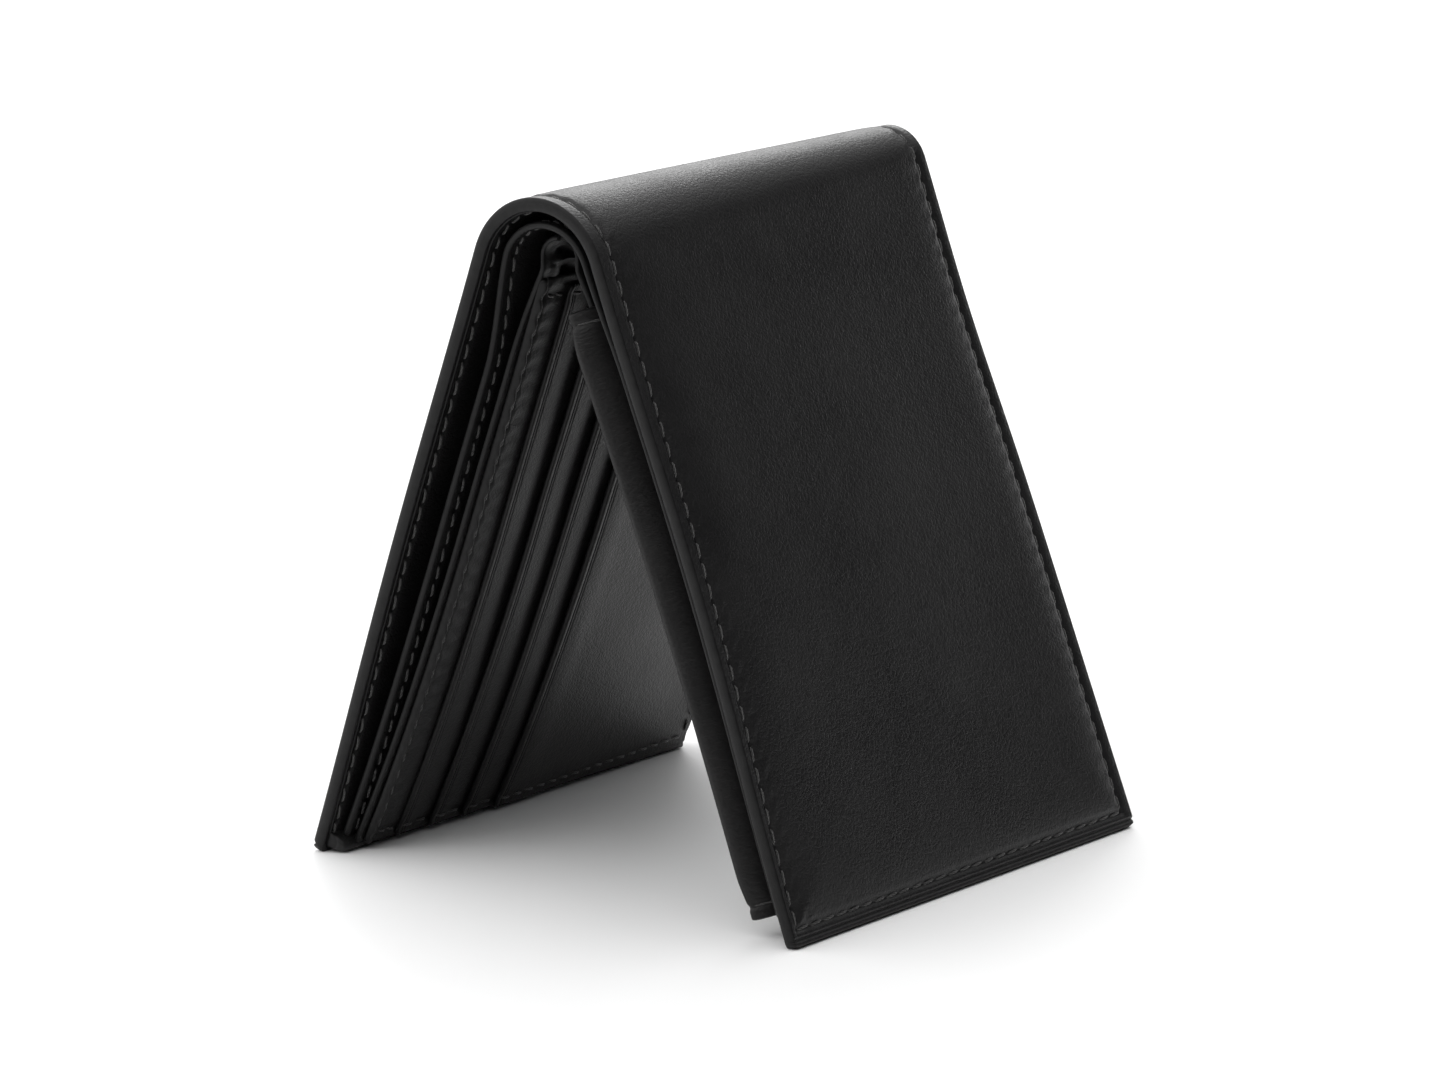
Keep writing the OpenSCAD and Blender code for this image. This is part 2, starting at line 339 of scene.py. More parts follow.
class Nodes:
    """A short way to write a material's nodes."""

    def __init__(self, name):
        self.material = bpy.data.materials.new(name)
        self.material.use_nodes = True
        self.tree = self.material.node_tree
        self.shader = self.tree.nodes["Principled BSDF"]

    def add(self, kind, inputs=None, **settings):
        node = self.tree.nodes.new(kind)
        for key, value in settings.items():
            setattr(node, key, value)
        for key, value in (inputs or {}).items():
            if isinstance(value, bpy.types.NodeSocket):
                self.tree.links.new(value, node.inputs[key])
            else:
                node.inputs[key].default_value = value
        return node

    def attribute(self, name, output="Vector"):
        return self.add("ShaderNodeAttribute", attribute_name=name).outputs[output]

    def math(self, operation, a, b=0.0, clamp=False):
        return self.add("ShaderNodeMath", {0: a, 1: b}, operation=operation,
                        use_clamp=clamp).outputs[0]

    def scaled(self, vector, scale):
        return self.add("ShaderNodeVectorMath", {0: vector, 1: scale},
                        operation="MULTIPLY").outputs[0]

    def noise(self, vector, scale, detail=2.0, rough=0.5, distortion=0.0):
        return self.add("ShaderNodeTexNoise", {"Vector": vector, "Scale": scale, "Detail": detail,
                        "Roughness": rough, "Distortion": distortion}).outputs["Fac"]

    def range(self, value, low, high, out_low, out_high):
        return self.add("ShaderNodeMapRange", {"Value": value, "From Min": low, "From Max": high,
                        "To Min": out_low, "To Max": out_high}).outputs["Result"]

    def colour(self, factor, first, second):
        node = self.add("ShaderNodeMix", {"Factor": factor}, data_type="RGBA")
        for socket, value in ((node.inputs[6], first), (node.inputs[7], second)):
            if isinstance(value, bpy.types.NodeSocket):
                self.tree.links.new(value, socket)
            else:
                socket.default_value = (*value, 1)
        return node.outputs[2]

    def bump(self, height, strength, distance, normal=None):
        inputs = {"Height": height, "Strength": strength, "Distance": distance}
        if normal is not None:
            inputs["Normal"] = normal
        return self.add("ShaderNodeBump", inputs).outputs["Normal"]

    def surface(self, **sockets):
        for key, value in sockets.items():
            socket = self.shader.inputs[key.replace("_", " ")]
            if isinstance(value, bpy.types.NodeSocket):
                self.tree.links.new(value, socket)
            else:
                socket.default_value = value
        return self.material


def leather(name, dark, light, rough, grain, wrinkle, gloss):
    """Fine smooth leather: pebbled grain, pores, long soft wrinkles, worn rims, and painted shade along
    the stitch grooves.
    """
    n = Nodes(name)
    flat = n.attribute("flat")
    swirl = n.add("ShaderNodeTexNoise", {"Vector": flat, "Scale": 1.3, "Detail": 2.0}).outputs["Color"]
    moved = n.add("ShaderNodeVectorMath", {0: flat, 1: n.scaled(swirl, (0.5, 0.5, 0.5))},
                  operation="ADD").outputs[0]
    cells = n.add("ShaderNodeTexVoronoi", {"Vector": moved, "Scale": 1.2, "Randomness": 1.0},
                  feature="DISTANCE_TO_EDGE").outputs["Distance"]
    pebbles = n.range(cells, 0.0, 0.22, 0.0, 1.0)
    small = n.add("ShaderNodeTexVoronoi", {"Vector": moved, "Scale": 2.3, "Randomness": 1.0},
                  feature="DISTANCE_TO_EDGE").outputs["Distance"]
    fine = n.range(small, 0.0, 0.25, 0.0, 1.0)
    pores = n.noise(flat, 3.0, 2.0, 0.5)
    height = n.math("ADD", n.math("MULTIPLY", pebbles, 0.55), n.math("MULTIPLY", fine, 0.3))
    height = n.math("ADD", height, n.math("MULTIPLY", pores, 0.35))
    broad = n.noise(n.scaled(flat, (0.30, 0.36, 1.0)), 1.0, 3.0, 0.5, 0.3)
    soft_way = n.noise(n.scaled(flat, (0.9, 0.7, 1.0)), 1.0, 3.0, 0.55, 0.5)
    folds = n.math("ADD", broad, n.math("MULTIPLY", soft_way, 0.5))
    normal = n.bump(folds, wrinkle, 0.0004)
    normal = n.bump(height, grain, 0.00014, normal)
    cloudy = n.noise(flat, 0.06, 4.0, 0.6)
    base = n.colour(n.range(cloudy, 0.3, 0.7, 0.0, 1.0), dark, light)
    worn = n.range(n.attribute("rim", "Fac"), 0.0, 1.1, 1.0, 0.0)
    patch = n.range(n.noise(flat, 0.9, 3.0, 0.6), 0.42, 0.72, 0.0, 0.6)
    base = n.colour(n.math("MULTIPLY", worn, patch), base, [c * 2.4 for c in light])
    # Painted shade: the colour darkens within 0.7 mm of a row of stitches, over its groove.
    painted_groove_shade = n.range(n.attribute("seam", "Fac"), 0.0, 0.7, 1.0, 0.0)
    base = n.colour(n.math("MULTIPLY", painted_groove_shade, 0.5), base, [c * 0.4 for c in dark])
    shine = n.range(n.math("ADD", pores, cloudy), 0.7, 1.3, rough - 0.05, rough + 0.07)
    return n.surface(Base_Color=base, Roughness=shine, Normal=normal, Specular_IOR_Level=gloss)


def edge_paint(name, dark, light, rough):
    """Painted leather edges: smooth, a little glossier, with faint unevenness."""
    n = Nodes(name)
    flat = n.attribute("flat")
    uneven = n.noise(flat, 0.8, 3.0, 0.5)
    grit = n.noise(flat, 5.0, 2.0, 0.5)
    normal = n.bump(n.math("ADD", uneven, n.math("MULTIPLY", grit, 0.3)), 0.35, 0.0001)
    base = n.colour(n.range(uneven, 0.35, 0.65, 0.0, 1.0), dark, light)
    return n.surface(Base_Color=base, Roughness=n.range(grit, 0.3, 0.7, rough - 0.05, rough + 0.08),
                     Normal=normal, Specular_IOR_Level=0.2)


def waxed_thread(name, dark, light):
    """Twisted two-ply thread, whose plies run slantwise round each stitch."""
    n = Nodes(name)
    flat = n.attribute("flat")
    wave = n.add("ShaderNodeTexWave", {"Vector": n.scaled(flat, (1.0, 2.2, 0.0)), "Scale": 0.9,
                 "Distortion": 0.6, "Detail": 1.0}, bands_direction="DIAGONAL").outputs["Fac"]
    fuzz = n.noise(flat, 12.0, 2.0, 0.6)
    normal = n.bump(n.math("ADD", wave, n.math("MULTIPLY", fuzz, 0.4)), 0.6, 0.00008)
    base = n.colour(wave, dark, light)
    return n.surface(Base_Color=base, Roughness=n.range(fuzz, 0.3, 0.7, 0.5, 0.68), Normal=normal,
                     Sheen_Weight=0.25, Sheen_Roughness=0.4)


def lining_cloth(name, dark, light):
    """Plain woven lining cloth."""
    n = Nodes(name)
    flat = n.attribute("flat")
    warp = n.add("ShaderNodeTexWave", {"Vector": flat, "Scale": 1.1}, bands_direction="X").outputs["Fac"]
    weft = n.add("ShaderNodeTexWave", {"Vector": flat, "Scale": 1.1}, bands_direction="Y").outputs["Fac"]
    weave = n.math("MAXIMUM", warp, weft)
    slub = n.noise(n.scaled(flat, (0.4, 4.0, 1.0)), 1.0, 3.0)
    base = n.colour(n.math("MULTIPLY", weave, slub), dark, light)
    return n.surface(Base_Color=base, Roughness=n.range(slub, 0.3, 0.7, 0.75, 0.9),
                     Normal=n.bump(weave, 0.5, 0.00008), Sheen_Weight=0.3)


def clear_film(name):
    """Clear flexible film with faint waves and hairline scratches."""
    n = Nodes(name)
    flat = n.attribute("flat")
    waves = n.noise(flat, 0.07, 2.0)
    scratch = n.noise(n.scaled(flat, (0.2, 6.0, 1.0)), 1.0, 2.0, 0.7, 0.3)
    normal = n.bump(n.math("ADD", waves, n.math("MULTIPLY", scratch, 0.04)), 0.3, 0.0006)
    return n.surface(Base_Color=(0.86, 0.89, 0.9, 1), Normal=normal, IOR=1.45, Alpha=0.28,
                     Roughness=n.range(scratch, 0.4, 0.8, 0.06, 0.2))


COVER = leather("cover_leather", (0.0062, 0.006, 0.0064), (0.0088, 0.0085, 0.0088), 0.4, 0.28, 0.1,
                0.3)
INNER = leather("inner_leather", (0.006, 0.0058, 0.006), (0.0085, 0.0082, 0.0084), 0.42, 0.3, 0.1,
                0.34)
POCKET = leather("pocket_leather", (0.0068, 0.0065, 0.0067), (0.0098, 0.0093, 0.0094), 0.42, 0.3, 0.14,
                 0.27)
PAINT = edge_paint("painted_edge", (0.005, 0.0048, 0.005), (0.008, 0.0078, 0.008), 0.4)
# The second thread is the first one painted darker with lighter ply tops, for the outer rows: painted
# shade and painted glints.
THREADS = [waxed_thread("waxed_thread", (0.014, 0.0136, 0.0136), (0.06, 0.058, 0.057)),
           waxed_thread("waxed_thread_painted_shade_and_glints", (0.008, 0.008, 0.008), (0.075, 0.073, 0.072))]
CLOTH = lining_cloth("lining_cloth", (0.012, 0.012, 0.013), (0.03, 0.03, 0.032))
FILM = clear_film("clear_film")

# ---------------------------------------------------------------- camera, light and floor


def add_camera():
    """The camera stands low and in front, to the right, at a long focal length."""
    azimuth, elevation, roll = math.radians(38.22), math.radians(11.77), math.radians(-0.43)
    target = Vector((0.57, -1.07, 46.5)) * MM
    back = Vector((math.sin(azimuth) * math.cos(elevation), -math.cos(azimuth) * math.cos(elevation),
                   math.sin(elevation)))
    data = bpy.data.cameras.new("camera")
    data.lens, data.sensor_width, data.clip_start = 135.0, 36.0, 0.01
    camera = bpy.data.objects.new("camera", data)
    camera.location = target + back * 0.81608
    turn = (-back).to_track_quat("-Z", "Y").to_euler()
    camera.rotation_euler = turn
    camera.rotation_euler.rotate_axis("Z", roll)
    bpy.context.scene.collection.objects.link(camera)
    bpy.context.scene.camera = camera


def add_light(name, place, aim, size, power):
    data = bpy.data.lights.new(name, "AREA")
    data.shape, data.size, data.size_y, data.energy = "RECTANGLE", *size, power
    lamp = bpy.data.objects.new(name, data)
    lamp.location = place
    lamp.rotation_euler = (Vector(aim) - Vector(place)).to_track_quat("-Z", "Y").to_euler()
    lamp.visible_camera = False
    bpy.context.scene.collection.objects.link(lamp)


def add_world():
    """A soft white tent, bright overhead to the left and dim low on the right."""
    world = bpy.data.worlds.new("studio")
    world.use_nodes = True
    tree = world.node_tree
    place = tree.nodes.new("ShaderNodeTexCoord")
    toward = tree.nodes.new("ShaderNodeVectorMath")
    toward.operation = "DOT_PRODUCT"
    toward.inputs[1].default_value = (-0.45, -0.10, 0.89)
    ramp = tree.nodes.new("ShaderNodeMapRange")
    ramp.interpolation_type = "SMOOTHSTEP"
    for key, value in (("From Min", 0.08), ("From Max", 0.8), ("To Min", 0.03), ("To Max", 1.8)):
        ramp.inputs[key].default_value = value
    tree.links.new(place.outputs["Generated"], toward.inputs[0])
    tree.links.new(toward.outputs["Value"], ramp.inputs["Value"])
    tree.links.new(ramp.outputs["Result"], tree.nodes["Background"].inputs["Strength"])
    tree.nodes["Background"].inputs["Color"].default_value = (1, 1, 1, 1)
    bpy.context.scene.world = world
    bpy.context.scene.view_settings.view_transform = "Standard"


def add_studio():
    add_world()
    add_light("behind", (0.02, 0.8, 0.12), (0.02, 0.03, 0.06), (0.12, 0.2), 0.3)
    add_light("above the spine", (-0.45, 0.62, 0.46), (0, 0, 0.1), (0.4, 0.2), 1.4)
    n = Nodes("floor")
    grain = n.noise(n.add("ShaderNodeTexCoord").outputs["Object"], 40.0, 2.0)
    n.surface(Base_Color=n.colour(grain, (0.93, 0.93, 0.93), (0.95, 0.95, 0.95)), Roughness=0.6)
    bpy.ops.mesh.primitive_plane_add(size=12)
    floor = bpy.context.object
    floor.name = "floor"
    floor.data.materials.append(n.material)


# ---------------------------------------------------------------- how pieces ride their bodies or stay baked in place


def follow_fold(piece, side):
    """Bakes the piece's transform into its mesh, where it stays. It looks up its half's joint, but the
    piece does not bend over the fold."""
    joint = next(j for j in frame["joints"] if j["child"] == BODY[side])
    hinge = Vector(joint["pos_m"])
    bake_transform(piece)


def finish_piece(piece, nodes, side=None, body=None):
    """Hides the nodes a piece stands for, and parents it to its body so that it rides with it, or else
    bakes its transform in place.
    """
    if nodes:
        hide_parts(*nodes)
    if body:
        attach(piece, body)
    else:
        follow_fold(piece, side)


# ---------------------------------------------------------------- the cover and its lining


def near_row(side):
    """The row beside the near edge runs closer to it towards the foot."""
    top, low = {RIGHT: (3.4, 1.6), LEFT: (2.3, 1.6)}[side]

    def row(run):
        over = mix(3.0, top, smooth(run / HALF_ARC))
        return NEAR + mix(over, low, np.clip((run - HALF_ARC) / LEG, 0, 1))

    return row


def cover_seam(side):
    """Distance inwards from the cover's rows of stitches, negative in the border outside them."""
    row = near_row(side)

    def seam(run, y):
        return np.minimum(np.minimum(y - row(run), FAR - STITCH_IN - y), FOOT - FOOT_STITCH - run)

    return seam


def needle_marks(run, y):
    """1 at the needle holes of the cover's rows and 0 between them."""
    count_long = round((FOOT - FOOT_STITCH) / PITCH)
    long_phase = run / ((FOOT - FOOT_STITCH) / count_long)
    count_foot = round((FAR - NEAR - 2 * STITCH_IN) / PITCH)
    foot_phase = (y - NEAR - STITCH_IN) / ((FAR - NEAR - 2 * STITCH_IN) / count_foot)
    side_row = np.minimum(y - NEAR, FAR - y) - STITCH_IN < FOOT - FOOT_STITCH - run
    phase = np.where(side_row, long_phase, foot_phase)
    return bump(phase - np.round(phase), 0.16)


def cover_outer(side):
    """How far the outer leather stands proud: a dome inside the stitches, and the seam pulled in."""
    dome = {RIGHT: 0.85, LEFT: 0.55}[side]
    seam_at = cover_seam(side)

    def height(run, y):
        q = seam_at(run, y)
        over_leg = 0.45 + 0.55 * smooth((run - HALF_ARC * 0.7) / 30)
        inside = np.clip(q, 0, None)
        far_side = smooth((y - 5) / 30)
        up = dome * over_leg * (1 - 0.2 * far_side) * (1 - np.exp(-inside / mix(3.4, 2.2, far_side)))
        seam = -0.34 * bump(q, 0.55) - 0.16 * bump(q, 0.5) * needle_marks(run, y)
        pucker = 0.07 * bump(q - 1.2, 0.8) * np.cos(2 * math.pi * (run + y) / PITCH)
        ledge = -0.42 * bump(FOOT - 1.05 - run, 0.24) - 0.12 * smooth((run - FOOT + 1.0) / 0.3)
        unevenness = 0.10 * ripple(run, y, 5 + side, 17) * (1 - np.exp(-inside / 8))
        return up + seam + pucker + ledge + unevenness

    return height


def shell_place(side):
    def place(run, y, offset):
        return half_point(side, run, y, SHELL / 2 + offset)

    return place


def add_cover(side):
    place = shell_place(side)
    seam = cover_seam(side)

    def cover_inner(run, y):
        return -0.12 * bump(seam(run, y), 0.5)

    run = lines(0, FOOT, 0.75, 0, EDGE_R,
                [(0.05, 0.06, 0.05), (FOOT - FOOT_STITCH, 1.2, 0.2), (FOOT - 1.05, 0.5, 0.1)])
    across = lines(NEAR, FAR, 1.3, EDGE_R, EDGE_R,
                   [(NEAR + STITCH_IN, 2.1, 0.2), (FAR - STITCH_IN, 1.4, 0.2)])
    cover = sheet(f"cover_{WORD[side]}_leather", run, across, place, SHELL, [COVER, PAINT],
                  cover_outer(side), cover_inner, True, 1.2, EDGE_R, 10 * side, seam)
    nodes = [f"cover_{WORD[side]}"] + (["cover_spine"] if side == RIGHT else [])
    finish_piece(cover, nodes, side)

    inset = 0.85
    lining_t = 0.34
    top = SHELL + 0.02

    def lining_place(run, y, offset):
        return half_point(side, run, y, top + offset)

    def lining_height(run, y):
        """All the layers end in one thick turned hem at the foot."""
        across_hem = np.sqrt(1 - np.clip(np.abs(run - FOOT + 2.4) / 1.25, 0, 1) ** 2)
        side_end = np.clip((np.minimum(y - NEAR, FAR - y) - inset) / 1.2, 0, 1)
        hem = {RIGHT: 0.5, LEFT: 3.2}[side] * across_hem * np.sqrt(1 - (1 - side_end) ** 2)
        return hem - 0.2 * bump(seam(run, y), 0.6) + 0.05 * ripple(run, y, 21, 9)

    run = lines(0, FOOT - inset, 1.0, 0, lining_t / 2, [(0.05, 0.06, 0.05), (FOOT - 2.4, 1.3, 0.1)])
    across = lines(NEAR + inset, FAR - inset, 1.6, lining_t / 2, lining_t / 2,
                   [(NEAR + STITCH_IN, 2.0, 0.25)])
    lining = sheet(f"lining_{WORD[side]}_leather", run, across, lining_place, lining_t,
                   [INNER, PAINT], None, lining_height, True, 1.0, None, 30 + 5 * side, seam)
    nodes = [f"lining_{WORD[side]}"] + (["lining_spine"] if side == RIGHT else [])
    finish_piece(lining, nodes, side)

    height = cover_outer(side)

    def outside(run, y):
        return -(SHELL / 2 + height(run, y)) - 0.02

    def inside(run, y):
        return np.full(np.shape(run + y), top - SHELL / 2 + lining_t / 2 - 0.08)

    low = FOOT - FOOT_STITCH
    far_row = FAR - STITCH_IN
    row = near_row(side)
    rows = []
    for level, facing in ((outside, -1), (inside, 1)):
        rows.append((place, "a", row, 0, low, level, facing))
        rows.append((place, "a", far_row, 0, low, level, facing))
        rows.append((place, "b", low, row(low), far_row, level, facing))
    thread = stitches(f"cover_{WORD[side]}_stitches", rows, THREADS)
    nodes = [f"cover_thread_{WORD[side]}"] + (["cover_thread_spine"] if side == RIGHT else [])
    finish_piece(thread, nodes, side)


# ---------------------------------------------------------------- the layers inside


def layer_depth(mid, foot, crest=None):
    """Depth of a layer's middle over a half, from its (y, depth) paths half way down and at the foot,
    and from crest(run, y) over the spine."""

    def depth(run, y):
        low = np.clip((run - HALF_ARC - 0.42 * LEG) / (0.55 * LEG), 0, 1) ** 1.9
        value = mix(along_path(mid, y), along_path(foot, y), low)
        if crest is not None:
            value = mix(crest(run, y), value, smooth((run - HALF_ARC + 2) / 20))
        return value

    return depth


def layer_place(side, depth):
    def place(run, y, offset):
        return half_point(side, run, y, depth(run, y) + offset)

    return place


def edge_roll(edge, y, run, rise=0.14, pucker=0.0):
    """A turned edge: a soft roll, with puckers between its stitches."""
    return rise * bump(y - edge - 0.7, 0.6) * (1 + pucker * np.cos(2 * math.pi * run / PITCH))


def add_divider(side):
    """The bill divider: one leaf of doubled leather over the spine, sewn along its open edge."""
    thick = 0.9
    edge, far = NEAR + (2.6 if side == LEFT else 1.5), FAR - 1.6
    if side == LEFT:
        mid, foot = [(edge, 6.0), (far, 2.75)], [(edge, 3.3), (far, 2.8)]
    else:
        mid, foot = [(edge, 3.3), (far, 2.75)], [(edge, 2.9), (far, 2.8)]

    def crest(run, y):
        return along_path([(NEAR + 1.5, 4.25), (far, 3.1)], y) + 0 * run

    depth = layer_depth(mid, foot, crest)
    forward = edge - NEAR - 1.5
    row = edge + 2.1

    def place(run, y, offset):
        """The edge lies nearer to the cover's edge over the spine than down the left half."""
        pull = forward * (1 - smooth((run - 6) / 26)) * (1 - smooth((y - edge) / 24))
        return half_point(side, run, y - pull, depth(run, y) + offset)

    def face(run, y):
        return (edge_roll(edge, y, run, 0.08) - 0.14 * bump(y - row, 0.5)
                - 0.08 * bump(y - row, 0.5) * bump(run / PITCH - np.round(run / PITCH), 0.16))

    end = FOOT - (2.6 if side == LEFT else 4.6)
    a = lines(0, end, 0.9, 0, thick / 2, [(0.05, 0.06, 0.05)])
    b = lines(edge, far, 1.6, thick / 2, thick / 2, [(row, 1.2, 0.2)])
    leaf = sheet(f"divider_{WORD[side]}_leather", a, b, place, thick, [INNER, PAINT], face, face, True,
                 0.9, None, 50 + 5 * side, lambda run, y: y - row)
    nodes = [f"divider_{WORD[side]}"] + (["divider_spine"] if side == RIGHT else [])
    finish_piece(leaf, nodes, side)

    def level(sign):
        return lambda run, y: sign * (thick / 2 + face(run, y) + 0.02)

    rows = [(place, "a", row, 0, end - 1.2, level(s), s) for s in (-1, 1)]
    thread = stitches(f"divider_{WORD[side]}_stitches", rows, THREADS)
    finish_piece(thread, [f"divider_thread_{WORD[side]}"], side)


def add_inner_wall(side):
    """The wall behind the pockets. It is gathered into a narrow crumpled arch under the spine."""
    thick = 0.7
    edge, far = NEAR + (4.0 if side == LEFT else 4.6), FAR - 2.2
    arch_r, arch_low = 3.0, 2.7

    def arch(run, y):
        """Half the arch: a small circle at its top, and then legs that go straight down."""
        radius = spine_at(y)[0]
        angle = np.clip(run / radius, 0, 1.25)
        circle = arch_low * np.cos(angle) + np.sqrt(arch_r**2 - (arch_low * np.sin(angle)) ** 2)
        reach = mix(circle, arch_r / np.sin(np.maximum(angle, 0.5)), smooth((angle - 0.75) / 0.2))
        depth = radius - reach - 0.09 * np.clip(run - HALF_ARC, 0, None)
        shallow = smooth((y - FAR + 34) / 26)
        crumple = 0.5 * ripple(run, y, 77, 1.1) * smooth((y - edge - 2.2) / 2.5) * smooth(run / 2)
        return mix(depth, 3.9, 0.8 * shallow) + crumple

    left_leaf = layer_depth([(edge, 8.6), (far, 3.55)], [(edge, 4.7), (far, 3.5)], arch)

    def right_leaf(run, y):
        leg = along_path([(edge, 7.15), (FAR - 15, 7.15), (far, 4.9)], y)
        leg = leg + case_shift(run) * smooth((FAR - 9 - y) / 8)
        return mix(arch(run, y), leg, smooth((run - HALF_ARC + 2) / 18))

    depth = left_leaf if side == LEFT else right_leaf

    def place(run, y, offset):
        recess = 0.8 * (1 - smooth((run - HALF_ARC - 1) / 16)) * (1 - smooth((y - edge) / 22))
        return half_point(side, run, y + recess, depth(run, y + recess) + offset)

    def face(run, y):
        near_spine = smooth((HALF_ARC + 8 - run) / 8)
        uneven = 0.2 * near_spine * ripple(run, y, 91, 0.9) * bump(y - edge - 8, 6.5)
        return edge_roll(edge, y, run, 0.1) + uneven

    end = FOOT - (2.5 if side == LEFT else 5.8)
    a = lines(0, end, 0.9, 0, thick / 2, [(0.05, 0.06, 0.05), (9, 9, 0.35)])
    b = lines(edge, far, 1.4, thick / 2, thick / 2, [(edge + 4, 3.4, 0.4)])
    leaf = sheet(f"inner_wall_{WORD[side]}_leather", a, b, place, thick, [INNER, PAINT], face, face,
                 True, 0.8, None, 70 + 5 * side)
    nodes = [f"inner_wall_{WORD[side]}"] + (["inner_wall_spine"] if side == RIGHT else [])
    finish_piece(leaf, nodes, side)


# ---------------------------------------------------------------- the card side

HEM_TOP = HALF_ARC + 2.8
HEM_LOW = FOOT - 2.8
HEM_STITCH = 1.6
ROW_END = 2.2
POCKET_EDGES = [NEAR + 11.6 + 7.5 * k for k in range(4)]
POCKET_THICK = 0.65
STRIP = 11.2


def hem_pull(run):
    """1 at the two sewn ends of the card side, fading to 0 away from them."""
    return bump(run - HEM_TOP - HEM_STITCH, 0.8) + bump(HEM_LOW - HEM_STITCH - run, 0.8)


def add_card_panel():
    thick = 0.75
    edge, far = NEAR + 5.0, FAR - 2.2
    row = edge + 1.7
    depth = layer_depth([(edge, 9.3), (far, 4.3)], [(edge, 5.6), (far, 4.1)])
    place = layer_place(LEFT, depth)

    def inner(run, y):
        bead = 0.55 * bump(y - edge - 0.7, 0.62) * (1 + 0.3 * np.cos(2 * math.pi * run / PITCH))
        wave = 0.16 * bump(y - edge - 3.2, 1.3) * np.cos(2 * math.pi * run / PITCH + 0.8)
        return bead + wave - 0.32 * bump(y - row, 0.4) - 0.2 * hem_pull(run)

    a = lines(HEM_TOP - 1.6, HEM_LOW, 0.6, thick / 2, thick / 2)
    b = lines(edge, far, 1.8, thick / 2, thick / 2, [(edge + 1.6, 1.9, 0.2)])
    panel = sheet("card_panel_leather", a, b, place, thick, [POCKET, PAINT], None, inner, False, 0.8,
                  None, 91, lambda run, y: y - row)
    finish_piece(panel, ["card_panel"], body="left_half")

    def level(run, y):
        return thick / 2 + inner(run, y) + 0.03

    return [(place, "a", row, HEM_TOP + ROW_END, HEM_LOW - ROW_END, level, 1),
            (place, "b", HEM_TOP + HEM_STITCH, edge + 2.4, POCKET_EDGES[0] - 0.4, level, 1),
            (place, "b", HEM_LOW - HEM_STITCH, edge + 2.4, POCKET_EDGES[0] - 0.4, level, 1)]


def add_card_pocket(k):
    """One stepped pocket front with a turned edge and two creased lines beside it."""
    edge = POCKET_EDGES[k]
    last = k == len(POCKET_EDGES) - 1
    end = FAR - 2.2 if last else edge + STRIP
    mid_n, foot_n = 9.7 + 0.18 * k, 6.0 + 0.18 * k
    if last:
        mid, foot = [(edge, mid_n), (edge + 8, mid_n - 0.7), (end, 5.0)], [(edge, foot_n), (end, 4.8)]
    else:
        mid, foot = [(edge, mid_n), (end, mid_n - 0.14 * STRIP)], [(edge, foot_n), (end, foot_n - 0.8)]
    depth = layer_depth(mid, foot)
    place = layer_place(LEFT, depth)

    def inner(run, y):
        body = smooth((run - HEM_TOP) / 14) * smooth((HEM_LOW - run) / 14)
        roll = 0.16 * bump(y - edge - 0.55, 0.5)
        creases = -0.17 * bump(y - edge - 1.25, 0.15) - 0.10 * bump(y - edge - 1.85, 0.15)
        crown = 0.16 * body * bump(y - edge - 4.2, 2.2)
        cushion = 0.5 * body * bump(y - edge - 24, 16) if last else 0
        worn = 0.05 * ripple(run, y, 40 + k, 8)
        return roll + creases + crown + cushion + worn - 0.22 * hem_pull(run)

    a = lines(HEM_TOP, HEM_LOW, 0.8, POCKET_THICK / 2, POCKET_THICK / 2)
    fine = [(edge + 1.4, 1.0, 0.1)] + ([(end - 1.4, 0.9, 0.3)] if last else [])
    b = lines(edge, end, 1.2 if last else 0.7, POCKET_THICK / 2, POCKET_THICK / 2, fine)
    pocket = sheet(f"card_pocket_{k + 1}_leather", a, b, place, POCKET_THICK, [POCKET, PAINT], None,
                   inner, False, 0.7, None, 110 + 9 * k)
    finish_piece(pocket, [f"card_pocket_{k + 1}"], body="left_half")

    def level(run, y):
        return POCKET_THICK / 2 + inner(run, y) + 0.03

    stop = end - 1.6 if last else POCKET_EDGES[k + 1] - 0.4
    ends = (HEM_TOP + HEM_STITCH, HEM_LOW - HEM_STITCH)
    rows = [(place, "b", run, edge + 0.6, stop, level, 1) for run in ends]
    if last:
        rows.append((place, "a", end - 1.6, HEM_TOP + ROW_END, HEM_LOW - ROW_END, level, 1))
    return rows


def add_card_side():
    rows = add_card_panel()
    for k in range(len(POCKET_EDGES)):
        rows += add_card_pocket(k)
    thread = stitches("card_side_stitches", rows, THREADS, slant=0.2)
    finish_piece(thread, ["card_thread"], body="left_half")
    depth = layer_depth([(2.0, 7.2), (FAR - 5, 4.6)], [(2.0, 5.0), (FAR - 5, 4.6)])
    a = lines(HEM_TOP + 1, HEM_LOW - 1, 1.5, 0.1, 0.1)
    b = lines(POCKET_EDGES[3] + 6.5, FAR - 5, 1.5, 0.1, 0.1)
    cloth = sheet("pocket_lining_cloth", a, b, layer_place(LEFT, depth), 0.2, [CLOTH],
                  None, lambda run, y: 0.04 * ripple(run, y, 60, 4), layer=150)
    finish_piece(cloth, ["pocket_cloth"], body="left_half")


# ---------------------------------------------------------------- the passcase side

CASE_TOP = HALF_ARC + 5.2
CASE_LOW = FOOT - 5.0


def case_shift(run):
    """The passcase side lies closer to the cover near the foot and stands off it near the spine."""
    t = np.clip((run - HALF_ARC) / LEG, 0, 1)
    return 0.5 * smooth((0.45 - t) / 0.45) - 1.35 * smooth((t - 0.35) / 0.6)


